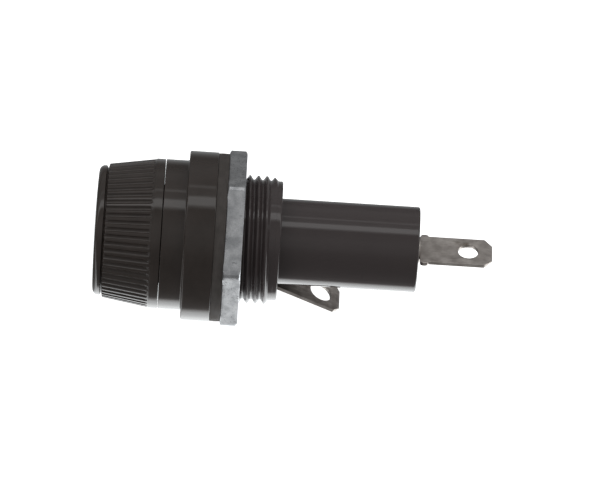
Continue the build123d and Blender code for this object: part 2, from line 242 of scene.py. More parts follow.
def apply_modifiers(item):
    """Gives an object the mesh that its modifiers make."""
    evaluated = item.evaluated_get(bpy.context.evaluated_depsgraph_get())
    mesh = bpy.data.meshes.new_from_object(evaluated)
    item.modifiers.clear()
    item.data = mesh


def combine(item, tool, operation):
    """Unites an object with a tool, or cuts it with one; the tool is used up."""
    boolean = item.modifiers.new("combine", "BOOLEAN")
    boolean.operation = operation
    boolean.solver = "EXACT"
    boolean.object = tool
    apply_modifiers(item)
    bpy.data.objects.remove(tool)


def soften(item, width, segments=2, angle_deg=30):
    """Rounds an object's sharp edges."""
    bevel = item.modifiers.new("soften", "BEVEL")
    bevel.width = width
    bevel.segments = segments
    bevel.limit_method = "ANGLE"
    bevel.angle_limit = math.radians(angle_deg)
    bevel.harden_normals = False
    apply_modifiers(item)


def boxes(name, corners):
    """Boxes between pairs of corners, as one object."""
    bm = bmesh.new()
    for low, high in corners:
        size = [h - l for l, h in zip(low, high)]
        middle = [(h + l) / 2 for l, h in zip(low, high)]
        place = Matrix.Translation(middle) @ Matrix.Diagonal((*size, 1))
        bmesh.ops.create_cube(bm, size=1, matrix=place)
    mesh = bpy.data.meshes.new(name)
    bm.to_mesh(mesh)
    bm.free()
    item = bpy.data.objects.new(name, mesh)
    bpy.context.scene.collection.objects.link(item)
    return item


def finish_piece(item, body, material, nodes, sharp_deg=38):
    """Brings a piece to metres, shades it, and fixes it to its body in place of CAD nodes."""
    item.data.transform(Matrix.Scale(MM, 4))
    item.data.shade_smooth()
    item.data.set_sharp_from_angle(angle=math.radians(sharp_deg))
    item.data.materials.clear()
    item.data.materials.append(material)
    weighted = item.modifiers.new("normals", "WEIGHTED_NORMAL")
    weighted.keep_sharp = True
    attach(item, body)
    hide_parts(*nodes)
    return item


# ---- materials

def material_parts(name):
    """A new material with its tree, its shader and its object coordinates in millimetres."""
    material = bpy.data.materials.new(name)
    material.use_nodes = True
    tree = material.node_tree
    shader = tree.nodes["Principled BSDF"]
    coords = tree.nodes.new("ShaderNodeTexCoord").outputs["Object"]
    return material, tree, shader, coords


def noise(tree, coords, size, detail=3.0, stretch=(1, 1, 1), shift=0.0):
    """Noise with features of about the given size in millimetres, longer along stretch."""
    place = tree.nodes.new("ShaderNodeMapping")
    place.inputs["Scale"].default_value = [1 / (MM * size * s) for s in stretch]
    place.inputs["Location"].default_value = (shift, shift, shift)
    tree.links.new(coords, place.inputs["Vector"])
    texture = tree.nodes.new("ShaderNodeTexNoise")
    texture.inputs["Scale"].default_value = 1.0
    texture.inputs["Detail"].default_value = detail
    tree.links.new(place.outputs["Vector"], texture.inputs["Vector"])
    return texture.outputs["Fac"]


def between(tree, value, low, high, start=0.35, end=0.65):
    """A number from low to high as value goes from start to end."""
    ranged = tree.nodes.new("ShaderNodeMapRange")
    ranged.inputs["From Min"].default_value = start
    ranged.inputs["From Max"].default_value = end
    ranged.inputs["To Min"].default_value = low
    ranged.inputs["To Max"].default_value = high
    tree.links.new(value, ranged.inputs["Value"])
    return ranged.outputs["Result"]


def mixed(tree, amount, first, second):
    """A colour from first to second; each is a colour or a socket."""
    mix = tree.nodes.new("ShaderNodeMix")
    mix.data_type = "RGBA"
    tree.links.new(amount, mix.inputs["Factor"])
    for socket, colour in ((mix.inputs[6], first), (mix.inputs[7], second)):
        if isinstance(colour, tuple):
            socket.default_value = (*colour, 1)
        else:
            tree.links.new(colour, socket)
    return mix.outputs[2]


def add_bump(tree, shader, layers):
    """Chains bumps, each (height, depth in millimetres), onto a shader."""
    normal = None
    for height, depth in layers:
        bump = tree.nodes.new("ShaderNodeBump")
        bump.inputs["Strength"].default_value = 1.0
        bump.inputs["Distance"].default_value = depth * MM
        tree.links.new(height, bump.inputs["Height"])
        if normal:
            tree.links.new(normal, bump.inputs["Normal"])
        normal = bump.outputs["Normal"]
    tree.links.new(normal, shader.inputs["Normal"])


def phenolic(name, shift, painted_fill_x):
    """Glossy black moulding: faint flow clouds, fine rubbed patches and a slight orange peel.

    From the given x onwards along +X the base colour is a little paler: painted fill light
    that lifts the shade on the barrel, thread and tube.
    """
    material, tree, shader, coords = material_parts(name)
    clouds = noise(tree, coords, 3.5, shift=shift)
    rubbed = noise(tree, coords, 0.9, detail=5, stretch=(2.5, 1, 1), shift=shift + 7)
    peel = noise(tree, coords, 0.55, detail=1, shift=shift)
    colour = mixed(tree, between(tree, clouds, 0, 1), PHENOLIC_DARK, PHENOLIC_LIGHT)
    place = tree.nodes.new("ShaderNodeSeparateXYZ")
    tree.links.new(coords, place.inputs[0])
    # Painted fill light: from the given x onwards the base colour turns paler.
    painted_fill_share = between(tree, place.outputs["X"], 0, 1, painted_fill_x * MM, (painted_fill_x + 1) * MM)
    colour = mixed(tree, painted_fill_share, colour, mixed(tree, clouds, PHENOLIC_FILL_DARK, PHENOLIC_FILL_LIGHT))
    tree.links.new(colour, shader.inputs["Base Color"])
    tree.links.new(between(tree, rubbed, *PHENOLIC_ROUGH), shader.inputs["Roughness"])
    shader.inputs["IOR"].default_value = PHENOLIC_IOR
    add_bump(tree, shader, [(peel, 0.002), (rubbed, 0.0006)])
    return material


def rubber(name):
    """Matte soft rubber with a fine grain and paler dust."""
    material, tree, shader, coords = material_parts(name)
    dust = noise(tree, coords, 1.6, detail=5)
    grain = noise(tree, coords, 0.16, detail=2)
    colour = mixed(tree, between(tree, dust, 0, 1, 0.4, 0.75), RUBBER_DARK, RUBBER_LIGHT)
    tree.links.new(colour, shader.inputs["Base Color"])
    tree.links.new(between(tree, dust, 0.62, 0.85), shader.inputs["Roughness"])
    shader.inputs["Specular IOR Level"].default_value = 0.3
    add_bump(tree, shader, [(grain, 0.012), (dust, 0.02)])
    return material


def metal(name, dark, light, rough, grain=0.3, grain_depth=0.004, stretch=(1, 1, 1),
          stain=None, stain_from=0.6, stain_size=2.2):
    """Worn plated or drawn metal, its grain stretched the way it was worked, with stains."""
    material, tree, shader, coords = material_parts(name)
    shader.inputs["Metallic"].default_value = 1.0
    patches = noise(tree, coords, 1.3, detail=5, shift=3)
    fine = noise(tree, coords, grain, detail=3, stretch=stretch)
    colour = mixed(tree, between(tree, patches, 0, 1), dark, light)
    colour = mixed(tree, between(tree, fine, 0.0, 0.45, 0.45, 0.75), colour, dark)
    if stain:
        spots = noise(tree, coords, stain_size, detail=6, shift=11)
        amount = between(tree, spots, 0, 0.85, stain_from, stain_from + 0.14)
        colour = mixed(tree, amount, colour, stain)
    tree.links.new(colour, shader.inputs["Base Color"])
    tree.links.new(between(tree, fine, *rough), shader.inputs["Roughness"])
    add_bump(tree, shader, [(fine, grain_depth), (patches, grain_depth)])
    return material


def drawn_glass(name):
    """Clear glass tube with faint drawn streaks."""
    material, tree, shader, coords = material_parts(name)
    streaks = noise(tree, coords, 0.5, detail=2, stretch=(30, 1, 1))
    tint = mixed(tree, between(tree, streaks, 0, 1), (0.93, 0.97, 0.96), (0.98, 0.99, 0.99))
    tree.links.new(tint, shader.inputs["Base Color"])
    tree.links.new(between(tree, streaks, 0.01, 0.05), shader.inputs["Roughness"])
    shader.inputs["IOR"].default_value = 1.47
    shader.inputs["Transmission Weight"].default_value = 1.0
    add_bump(tree, shader, [(streaks, 0.002)])
    return material


PHENOLIC_DARK = (0.0350, 0.0265, 0.0220)
PHENOLIC_LIGHT = (0.0450, 0.0345, 0.0295)
# Paler base colours for the painted fill light on the barrel, thread and tube.
PHENOLIC_FILL_DARK = (0.0560, 0.0450, 0.0445)
PHENOLIC_FILL_LIGHT = (0.0660, 0.0530, 0.0525)
PHENOLIC_ROUGH = (0.05, 0.11)
PHENOLIC_IOR = 1.50
RUBBER_DARK = (0.070, 0.062, 0.057)
RUBBER_LIGHT = (0.108, 0.097, 0.090)
BROWN_STAIN = (0.13, 0.095, 0.065)

# The body carries the painted fill light from the flange's rear face (x = 0) onwards.
BODY_BLACK = phenolic("body_phenolic", 0.0, painted_fill_x=0.0)
# The knob carries the same painted fill light behind its rear face, on its stem.
KNOB_BLACK = phenolic("knob_phenolic", 40.0, painted_fill_x=KNOB_REAR_X)
RUBBER = rubber("washer_rubber")
ZINC = metal("nut_zinc", (0.42, 0.43, 0.445), (0.68, 0.69, 0.705), (0.26, 0.46), grain=0.19,
             grain_depth=0.016, stain=(0.16, 0.17, 0.18), stain_from=0.66, stain_size=0.9)
TINNED = metal("terminal_tinned", (0.39, 0.355, 0.33), (0.61, 0.57, 0.535), (0.30, 0.52),
               grain=0.25, grain_depth=0.008, stretch=(5, 1, 1), stain=BROWN_STAIN,
               stain_from=0.62)
BRASS = metal("contact_brass", (0.56, 0.40, 0.17), (0.74, 0.56, 0.27), (0.22, 0.40),
              grain=0.2, stretch=(1, 5, 5), stain=(0.25, 0.15, 0.07), stain_from=0.64)
SPRING_STEEL = metal("spring_steel", (0.42, 0.41, 0.40), (0.58, 0.57, 0.56), (0.2, 0.35),
                     grain=0.15)
NICKEL = metal("fuse_cap", (0.55, 0.53, 0.49), (0.70, 0.68, 0.63), (0.14, 0.30), grain=0.2,
               grain_depth=0.002, stretch=(1, 6, 6), stain=(0.35, 0.31, 0.25), stain_from=0.66)
WIRE = metal("fuse_wire", (0.45, 0.44, 0.42), (0.60, 0.59, 0.56), (0.25, 0.4), grain=0.1,
             stretch=(8, 1, 1))
SOLDER = metal("solder", (0.42, 0.42, 0.41), (0.60, 0.60, 0.58), (0.35, 0.6), grain=0.25,
               grain_depth=0.02)
GLASS = drawn_glass("fuse_glass")


# ---- the moulded body

THREAD_MIDDLE_X = (1.5, 5.5)
CREST_TOLERANCE = 0.01


def thread_phase():
    """Where the crests of the CAD thread lie at angle 0, as a part of a pitch."""
    points = np.array([v.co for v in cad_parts["body_moulding"].data.vertices]) / MM
    radius = np.hypot(points[:, 1], points[:, 2])
    crest = np.abs(radius - THREAD_MAJOR_R) < CREST_TOLERANCE
    crest &= (points[:, 0] > THREAD_MIDDLE_X[0]) & (points[:, 0] < THREAD_MIDDLE_X[1])
    if not crest.any():
        raise ValueError("the CAD barrel has no thread crests")
    angle = np.arctan2(points[crest, 2], points[crest, 1])
    pitches = points[crest, 0] / THREAD_PITCH - angle / FULL_TURN
    mean = np.exp(1j * FULL_TURN * pitches).mean()
    return np.angle(mean) / FULL_TURN


# (pitches from the crest's middle, share of the depth)
THREAD_SHAPE = (
    (0.0, 1.0), (0.065, 1.0), (0.088, 0.984), (0.112, 0.934), (0.18, 0.728), (0.25, 0.515),
    (0.32, 0.303), (0.388, 0.097), (0.41, 0.038), (0.435, 0.006), (0.46, 0.0), (0.5, 0.0),
)
THREAD_FADE = 0.12
THREAD_FADE_X = THREAD_RUN_X + 0.19
THREAD_LEAD_SLOPE = 1.5


def thread_grid():
    """Rings that follow the helix, each at one height of the thread, run out at both ends.

    The crest fades over THREAD_FADE of a pitch before THREAD_FADE_X, a little past the CAD's.
    """
    half = np.array(THREAD_SHAPE)
    places = np.concatenate([-half[::-1, 0], half[1:-1, 0]])
    heights = np.concatenate([half[::-1, 1], half[1:-1, 1]])
    turn = np.arange(LATHE_COLUMNS) / LATHE_COLUMNS
    pitches = math.ceil(THREAD_END_X / THREAD_PITCH) + 1
    first = thread_phase() % 1 - 2
    crest = np.repeat(first + np.arange(pitches + 2), len(places))
    along = crest + np.tile(places, pitches + 2)
    height = np.tile(heights, pitches + 2)
    x = (along[:, None] + turn) * THREAD_PITCH
    x = np.clip(x, 0, THREAD_END_X)
    left = THREAD_FADE_X / THREAD_PITCH - (crest[:, None] + turn)
    height = height[:, None] * np.clip(left / THREAD_FADE, 0, 1)
    rise = np.minimum(height * THREAD_DEPTH, THREAD_END_X - x)
    rise = np.minimum(rise, x * THREAD_LEAD_SLOPE)
    r = THREAD_ROOT_R + rise
    return np.stack([x, r * np.cos(turn * FULL_TURN), r * np.sin(turn * FULL_TURN)], axis=-1)


def join_thread(bm):
    """Puts the thread in place of the plain barrel between the flange and the pilot."""
    plain = []
    for face in bm.faces:
        centre = face.calc_center_median()
        outer = all(abs(math.hypot(v.co.y, v.co.z) - THREAD_ROOT_R) < 0.001 for v in face.verts)
        if outer and 0 < centre.x < THREAD_END_X:
            plain.append(face)
    bmesh.ops.delete(bm, geom=plain, context="FACES")
    verts, quads = open_helix(thread_grid())
    made = [bm.verts.new(v) for v in verts]
    for quad in quads:
        bm.faces.new([made[i] for i in quad])


def open_helix(grid):
    """Vertices and quads of a helical grid, whose last column meets its first a pitch on."""
    per_pitch = 2 * len(THREAD_SHAPE) - 2
    rows, columns = grid.shape[:2]
    index = np.arange(rows * columns).reshape(rows, columns)
    quads = []
    for j in range(rows - 1):
        for i in range(columns - 1):
            quads.append((index[j, i], index[j, i + 1], index[j + 1, i + 1], index[j + 1, i]))
        if j >= per_pitch:
            back = j - per_pitch
            quads.append((index[back, -1], index[j, 0], index[j + 1, 0], index[back + 1, -1]))
    return grid.reshape(-1, 3), quads


def bayonet_pockets():
    """The two pockets that the lugs turn into."""
    top_r = LUG_R + LUG_GAP
    half = LUG_WIDTH / 2 + LUG_GAP
    inner_r = KNOB_STEM_R
    spread = math.degrees(math.asin(half / inner_r))
    x0, x1 = LUG_X[0] - LUG_GAP, LUG_X[1] + LUG_GAP
    steps = 24
    verts, faces = [], []
    for start in (0, 180):
        base = len(verts)
        for k in range(steps + 1):
            angle = math.radians(start - spread + k * (LUG_TURN_DEG + 2 * spread) / steps)
            for x, r in ((x0, inner_r), (x1, inner_r), (x1, top_r), (x0, top_r)):
                verts.append((x, r * math.cos(angle), r * math.sin(angle)))
        for k in range(steps):
            for c in range(4):
                a, b = base + 4 * k + c, base + 4 * k + (c + 1) % 4
                faces.append((a, b, b + 4, a + 4))
        faces.append((base, base + 1, base + 2, base + 3))
        end = base + 4 * steps
        faces.append((end + 3, end + 2, end + 1, end))
    return working_object("pockets", verts, faces)


def body_profile():
    """The body's section, from the head round to the bores."""
    return rounded([
        (HEAD_FRONT_X, STEM_BORE_R, 0.15), (HEAD_FRONT_X, HEAD_R, 0.08),
        (FLANGE_FRONT_X, HEAD_R, 0.20), (FLANGE_FRONT_X, FLANGE_R, 0.18),
        (0, FLANGE_R, 0.12), (0, THREAD_ROOT_R), (THREAD_END_X, THREAD_ROOT_R),
        (THREAD_END_X + 0.02, PILOT_R), (PILOT_END_X, PILOT_R, 0.20),
        (PILOT_END_X, TUBE_R, 0.10), (TUBE_END_X, TUBE_R, 0.25), (TUBE_END_X, EYELET_R),
        (TUBE_BORE_END_X, EYELET_R), (TUBE_BORE_END_X, TUBE_BORE_R, 0.2),
        (CONTACT_BORE_END_X, TUBE_BORE_R, SOFT_EDGE), (CONTACT_BORE_END_X, CONTACT_BORE_R),
        (STEM_BORE_END_X, CONTACT_BORE_R), (STEM_BORE_END_X, STEM_BORE_R),
    ])


def make_body():
    """The body: a turned section, the bayonet and the side slot cut in it, and its thread."""
    body = working_object("holder_body", *skin(rings(body_profile()), closed=True))
    top_r = LUG_R + LUG_GAP
    half = LUG_WIDTH / 2 + LUG_GAP
    x0, x1 = HEAD_FRONT_X - 1, LUG_X[1] + LUG_GAP
    inner = KNOB_STEM_R
    combine(body, boxes("entries", [((x0, inner, -half), (x1, top_r, half)),
                                    ((x0, -top_r, -half), (x1, -inner, half))]), "DIFFERENCE")
    combine(body, bayonet_pockets(), "DIFFERENCE")
    gap = 0.02
    half_w = STRIP_W / 2 + gap
    bottom = -SIDE_STRIP_R - STRIP_T / 2 - gap
    top = -SIDE_STRIP_R + STRIP_T / 2 + gap
    keyway_top = 0.8 - CONTACT_BORE_R
    combine(body, boxes("slot", [((STEM_BORE_END_X, -half_w, bottom),
                                  (PILOT_END_X + 1, half_w, top))]), "DIFFERENCE")
    combine(body, boxes("keyway", [((STEM_BORE_END_X, -half_w, bottom),
                                    (CONTACT_BORE_END_X, half_w, keyway_top))]), "DIFFERENCE")
    edit_mesh(body, join_thread)
    finish_piece(body, "holder", BODY_BLACK, ["body_moulding"])


# ---- the knob

FLUTE_STOP = 0.10 + FLUTE_R
FLUTE_HALF_W = math.sqrt((FLUTE_R + FLUTE_EDGE_R) ** 2
                         - (FLUTE_R - FLUTE_DEPTH + FLUTE_EDGE_R) ** 2)
FLUTE_TURN_W = FLUTE_HALF_W * FLUTE_R / (FLUTE_R + FLUTE_EDGE_R)
FLUTE_SIDE = np.concatenate([FLUTE_TURN_W * np.array([0.2, 0.5, 0.74, 0.9]),
                             np.linspace(FLUTE_TURN_W, FLUTE_HALF_W, 4)])
FLUTE_PLACES = np.concatenate([-FLUTE_SIDE[::-1], FLUTE_SIDE])


def flute_depth(past_end):
    """The flute's depth across its width, at a distance past the centre of its round end."""
    across = np.append(FLUTE_PLACES, FLUTE_HALF_W * 1.1)
    reach = np.hypot(across, max(past_end, 0))
    hollow = np.sqrt(np.maximum(FLUTE_R ** 2 - reach ** 2, 0)) - (FLUTE_R - FLUTE_DEPTH)
    short = np.maximum(FLUTE_HALF_W - reach, 0)
    edge = FLUTE_EDGE_R - np.sqrt(np.maximum(FLUTE_EDGE_R ** 2 - short ** 2, 0))
    return np.where(reach < FLUTE_TURN_W, hollow, edge)


def fluted_ring(x, r, depth=0.0, spread_r=None):
    """A ring with a column for each place across each flute and one on each land."""
    pitch = FULL_TURN / FLUTES
    offsets = np.append(FLUTE_PLACES / (spread_r or r), pitch / 2)
    turn = (np.arange(FLUTES)[:, None] * pitch + offsets).ravel()
    radius = np.tile(np.broadcast_to(r - depth, offsets.shape), FLUTES)
    return np.stack([x + 0 * turn, radius * np.cos(turn), radius * np.sin(turn)], axis=-1)


def knob_rings():
    """The knob's rings, from the middle of its face, over the flutes, to its rivet hole."""
    groove_r = KNOB_RIM_R - KNOB_GROOVE_DEPTH
    groove_x = (KNOB_RIM_END_X + KNOB_GROOVE_END_X) / 2
    dome = [(KNOB_FRONT_X + r ** 2 / (2 * KNOB_DOME_R), r) for r in np.linspace(0, KNOB_RIM_R, 9)]
    front = rounded(dome[:-1] + [(*dome[-1], KNOB_RIM_FILLET), (KNOB_RIM_END_X, KNOB_RIM_R, 0.06),
                                 (groove_x, groove_r, 0.04), (KNOB_GROOVE_END_X, KNOB_CONE_R0)],
                    steps=6)
    made = [fluted_ring(x, r, spread_r=KNOB_CONE_R0) for x, r in front[:-1]]

    for share in (0.4, 0.6, 0.8, 1.0):
        wall_r = groove_r + share * (KNOB_CONE_R0 - groove_r)
        cut = np.maximum(wall_r - (KNOB_CONE_R0 - flute_depth(0)), 0)
        x = groove_x + share * (KNOB_GROOVE_END_X - groove_x)
        made.append(fluted_ring(x, wall_r, cut, KNOB_CONE_R0))

    run = KNOB_CONE_END_X - KNOB_GROOVE_END_X
    length = math.hypot(run, KNOB_CONE_R1 - KNOB_CONE_R0)
    end = length - FLUTE_STOP
    past_end = [0, 0.08, *FLUTE_SIDE[1:], FLUTE_HALF_W * 1.1]
    stations = [end * k / 8 for k in range(1, 8)] + [end + p for p in past_end]
    for along in stations:
        x = KNOB_GROOVE_END_X + along / length * run
        r = KNOB_CONE_R0 + along / length * (KNOB_CONE_R1 - KNOB_CONE_R0)
        made.append(fluted_ring(x, r, flute_depth(along - end)))

    rear = rounded([
        (KNOB_CONE_END_X, KNOB_CONE_R1), (KNOB_CONE_END_X, KNOB_BAND_R, 0.03),
        (KNOB_REAR_X, KNOB_BAND_R, 0.08), (KNOB_REAR_X, KNOB_STEM_R, 0.12),
        (KNOB_STEM_END_X, KNOB_STEM_R, 0.25), (KNOB_STEM_END_X, KNOB_BORE_R, 0.15),
        (KNOB_BORE_X, KNOB_BORE_R, 0.2), (KNOB_BORE_X, RIVET_R, 0.05),
        (KNOB_BORE_X - RIVET_SHANK, RIVET_R), (KNOB_BORE_X - RIVET_SHANK, 0),
    ])
    made += [fluted_ring(x, r, spread_r=KNOB_CONE_R1) for x, r in rear]
    return np.stack(made)


def make_knob():
    """The fluted knob, with its stem and its two bayonet lugs."""
    knob = working_object("knob", *skin(knob_rings(), closed=False))
    sunk = KNOB_STEM_R - 0.5
    half = LUG_WIDTH / 2
    lugs = boxes("lugs", [((LUG_X[0], sunk, -half), (LUG_X[1], LUG_R, half)),
                          ((LUG_X[0], -LUG_R, -half), (LUG_X[1], -sunk, half))])
    soften(lugs, 0.12)
    combine(knob, lugs, "UNION")
    edit_mesh(knob)
    finish_piece(knob, "knob", KNOB_BLACK, ["knob_shell"])


# ---- the panel hardware

def make_washer():
    """The soft washer, its rim a little swollen where it is squeezed."""
    x0, x1, r = WASHER_LOW.x, WASHER_HIGH.x, WASHER_HIGH.y
    profile = rounded([(x0, WASHER_BORE_R, 0.1), (x0, r - 0.03, 0.06), ((x0 + x1) / 2, r, 1.0),
                       (x1, r - 0.03, 0.06), (x1, WASHER_BORE_R, 0.1)])
    washer = working_object("washer", *skin(rings(profile), closed=True))
    finish_piece(washer, "washer", RUBBER, ["panel_washer"])


def nut_ring(x, angle, face_gap):
    """One ring of the nut's outside, at a distance from its nearer face."""
    flat = NUT_FLATS / 2 / np.cos((angle + np.pi / 6) % (np.pi / 3) - np.pi / 6)
    turned = NUT_CORNER_R - NUT_EDGE * max(0, 1 - face_gap / (NUT_EDGE * 0.6))
    radius = np.minimum(flat, turned)
    roll = 0.09
    if face_gap < roll:
        radius = radius - (roll - math.sqrt(roll ** 2 - (roll - face_gap) ** 2))
    turn = angle + math.radians(180 - NUT_PHASE_DEG)
    return np.stack([x + 0 * turn, radius * np.cos(turn), radius * np.sin(turn)], axis=-1)


def make_nut():
    """The hexagonal nut, its corners turned down and its edges rolled by plating and wear."""
    x0, x1 = NUT_LOW.x, NUT_HIGH.x
    corner = math.acos(NUT_FLATS / 2 / NUT_CORNER_R)
    in_flat = np.linspace(-corner, corner, 25)
    in_corner = np.linspace(corner, np.pi / 3 - corner, 6)[1:-1]
    angle = np.concatenate([np.concatenate([in_flat, in_corner]) + k * np.pi / 3
                            for k in range(6)])
    gaps = [0, 0.02, 0.045, 0.09, 0.135, 0.18, 0.3]
    outside = [nut_ring(x0 + g, angle, g) for g in gaps]
    outside += [nut_ring(x1 - g, angle, g) for g in reversed(gaps)]
    turn = angle + math.radians(180 - NUT_PHASE_DEG)
    bore = [(x1, NUT_BORE_R + NUT_EDGE), (x1 - NUT_EDGE, NUT_BORE_R),
            (x0 + NUT_EDGE, NUT_BORE_R), (x0, NUT_BORE_R + NUT_EDGE)]
    inside = [np.stack([x + 0 * turn, r * np.cos(turn), r * np.sin(turn)], axis=-1)
              for x, r in bore]
    nut = working_object("nut", *skin(np.stack(outside + inside), closed=True))
    finish_piece(nut, "nut", ZINC, ["panel_nut"], sharp_deg=30)


# ---- the terminals

def strip_object(name, outline, holes, cuts):
    """A flat strip from an outline with round holes, with extra cuts across it along X."""
    bm = bmesh.new()
    loops = [outline] + [
        [(x + r * math.cos(k * FULL_TURN / HOLE_SIDES), r * math.sin(k * FULL_TURN / HOLE_SIDES))
         for k in range(HOLE_SIDES)] for x, r in holes]
    edges = []
    for loop in loops:
        made = [bm.verts.new((x, y, -STRIP_T / 2)) for x, y in loop]
        edges += [bm.edges.new((made[i - 1], made[i])) for i in range(len(made))]
    bmesh.ops.triangle_fill(bm, use_beauty=True, edges=edges)
    flat = bmesh.ops.extrude_face_region(bm, geom=bm.faces[:])
    raised = [v for v in flat["geom"] if isinstance(v, bmesh.types.BMVert)]
    bmesh.ops.translate(bm, verts=raised, vec=(0, 0, STRIP_T))
    for x in cuts:
        geom = bm.verts[:] + bm.edges[:] + bm.faces[:]
        bmesh.ops.bisect_plane(bm, geom=geom, plane_co=(x, 0, 0), plane_no=(1, 0, 0),
                               dist=0.0001)
    mesh = bpy.data.meshes.new(name)
    bm.to_mesh(mesh)
    bm.free()
    item = bpy.data.objects.new(name, mesh)
    bpy.context.scene.collection.objects.link(item)
    edit_mesh(item)
    return item


def coin_tip(item, tip_x, bevel_length):
    """Thins the strip towards its tip on both sides."""
    def thin(bm):
        for vert in bm.verts:
            past = max(0, vert.co.x - (tip_x - bevel_length)) / bevel_length
            vert.co.z *= 1 - past * STRIP_BEVEL_T / (STRIP_T / 2)
    edit_mesh(item, thin)


def make_end_terminal():
    """The blade on the axis: coined tip, ears at the root, and a staked tongue inside."""
    root, tip = EYELET_HIGH.x, END_HIGH.x
    half, ear = STRIP_W / 2, END_HIGH.y
    tongue, stake = TONGUE_W / 2, STAKE_W / 2
    ear_end = root + END_EAR_LENGTH
    upper = [
        (END_LOW.x, stake), (SEAT_X, stake), (SEAT_X, tongue), (root, tongue),
        (root, ear - 0.35), (root + 0.1, ear - 0.1), (root + 0.35, ear),
        (ear_end - 0.4, ear), (ear_end - 0.12, ear - 0.08), (ear_end, half),
        (tip - END_CORNER, half), (tip, half - END_CORNER),
    ]
    outline = upper + [(x, -y) for x, y in reversed(upper)]
    blade = strip_object("end_blade", outline, [(END_HOLE_X, END_HOLE_R)],
                         [tip - END_BEVEL_LENGTH])
    coin_tip(blade, tip, END_BEVEL_LENGTH)
    soften(blade, 0.05)
    finish_piece(blade, "holder", TINNED, ["end_terminal"])


def make_side_terminal():
    """The strip out of the shoulder, bent away from the tube."""
    tip = SIDE_BEND_X + SIDE_TIP_S
    half = STRIP_W / 2
    upper = [(SIDE_START_X, half), (tip - SIDE_CORNER, half), (tip, half - SIDE_CORNER)]
    outline = upper + [(x, -y) for x, y in reversed(upper)]
    bend = math.radians(SIDE_BEND_DEG)
    bend_r = 0.50
    arc = bend_r * bend
    steps = 6
    cuts = [SIDE_BEND_X + arc * (k / steps - 0.5) for k in range(steps + 1)]
    cuts.append(tip - SIDE_BEVEL_LENGTH)
    holes = [(SIDE_RIVET_X, SIDE_RIVET_R), (SIDE_BEND_X + SIDE_HOLE_S, SIDE_HOLE_R)]
    strip = strip_object("side_blade", outline, holes, cuts)
    coin_tip(strip, tip, SIDE_BEVEL_LENGTH)
    soften(strip, 0.05)

    def curl(bm):
        start = SIDE_BEND_X - arc / 2
        for vert in bm.verts:
            turned = min(max(vert.co.x - start, 0) / bend_r, bend)
            beyond = max(vert.co.x - start - arc, 0)
            x = min(vert.co.x, start) + (bend_r + vert.co.z) * math.sin(turned)
            z = -bend_r + (bend_r + vert.co.z) * math.cos(turned)
            x += beyond * math.cos(bend)
            z -= beyond * math.sin(bend)
            vert.co = (x, vert.co.y, z - SIDE_STRIP_R)
    edit_mesh(strip, curl)
    finish_piece(strip, "holder", TINNED, ["side_terminal"])


def make_eyelet():
    """The flanged eyelet that stands between the tube's end and the end terminal."""
    flange_r = EYELET_HIGH.y
    profile = rounded([
        (EYELET_LOW.x, EYELET_BORE_R), (EYELET_LOW.x, EYELET_R), (TUBE_END_X, EYELET_R),
        (TUBE_END_X, flange_r, 0.08), (EYELET_HIGH.x, flange_r, 0.16),
        (EYELET_HIGH.x, EYELET_BORE_R, 0.1),
    ])
    eyelet = working_object("eyelet", *skin(rings(profile, 96), closed=True))
    finish_piece(eyelet, "holder", TINNED, ["end_eyelet"])


# ---- the fuse and its spring

def make_glass():
    """The glass tube, its cut ends fire-polished."""
    x0, x1, r = GLASS_LOW.x, GLASS_HIGH.x, GLASS_HIGH.y
    inner = r - GLASS_WALL
    profile = rounded([(x0, inner, 0.2), (x0, r, 0.2), (x1, r, 0.2), (x1, inner, 0.2)])
    glass = working_object("glass_tube", *skin(rings(profile, 128), closed=True))
    finish_piece(glass, "fuse", GLASS, ["fuse_glass"])


def make_cap(node, inward):
    """A pressed end cap with a rounded end and a slightly belled mouth."""
    low, high = box_mm(node)
    outer_x, mouth_x = (low.x, high.x) if inward > 0 else (high.x, low.x)
    r = high.y
    end_x = outer_x + inward * CAP_WALL
    neck_x = mouth_x - inward * 0.5
    profile = rounded([
        (outer_x, 0), (outer_x, r, 0.45), (neck_x - inward * 0.4, r - 0.02, 0.3),
        (neck_x, r - 0.05, 0.3), (mouth_x, r, 0.05), (mouth_x, r - CAP_WALL + 0.02, 0.05),
        (end_x, r - CAP_WALL, 0.2), (end_x, 0),
    ])
    cap = working_object(node.replace("fuse_cap", "ferrule"),
                         *skin(rings(profile, 128), closed=False))
    finish_piece(cap, "fuse", NICKEL, [node])


def make_spring():
    """The coil spring, its end turns closed and its wire round."""
    wire = SPRING_WIRE_R
    coil_r = SPRING_HIGH.z - wire
    steps, around = int(SPRING_TURNS * 56), 14
    share = np.linspace(0, 1, steps + 1)
    eased = share + 0.05 * np.sin(FULL_TURN * 2 * share) / 2
    x = SPRING_LOW.x + wire + (SPRING_HIGH.x - SPRING_LOW.x - 2 * wire) * eased
    turn = share * SPRING_TURNS * FULL_TURN
    tips = np.array([0.0] + [1.0] * (steps - 1) + [0.0]) * wire
    spin = np.arange(around) * FULL_TURN / around
    radius = coil_r + tips[:, None] * np.cos(spin)
    along = x[:, None] + tips[:, None] * np.sin(spin)
    grid = np.stack([along, radius * np.cos(turn)[:, None], radius * np.sin(turn)[:, None]], -1)
    spring = working_object("coil_spring", *skin(grid, closed=False))
    finish_piece(spring, "plunger", SPRING_STEEL, ["contact_spring"])
    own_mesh(spring)


make_body()
make_knob()
make_washer()
make_nut()
make_end_terminal()
make_side_terminal()
make_eyelet()
make_glass()
make_cap("fuse_cap_front", 1)
make_cap("fuse_cap_rear", -1)
make_spring()

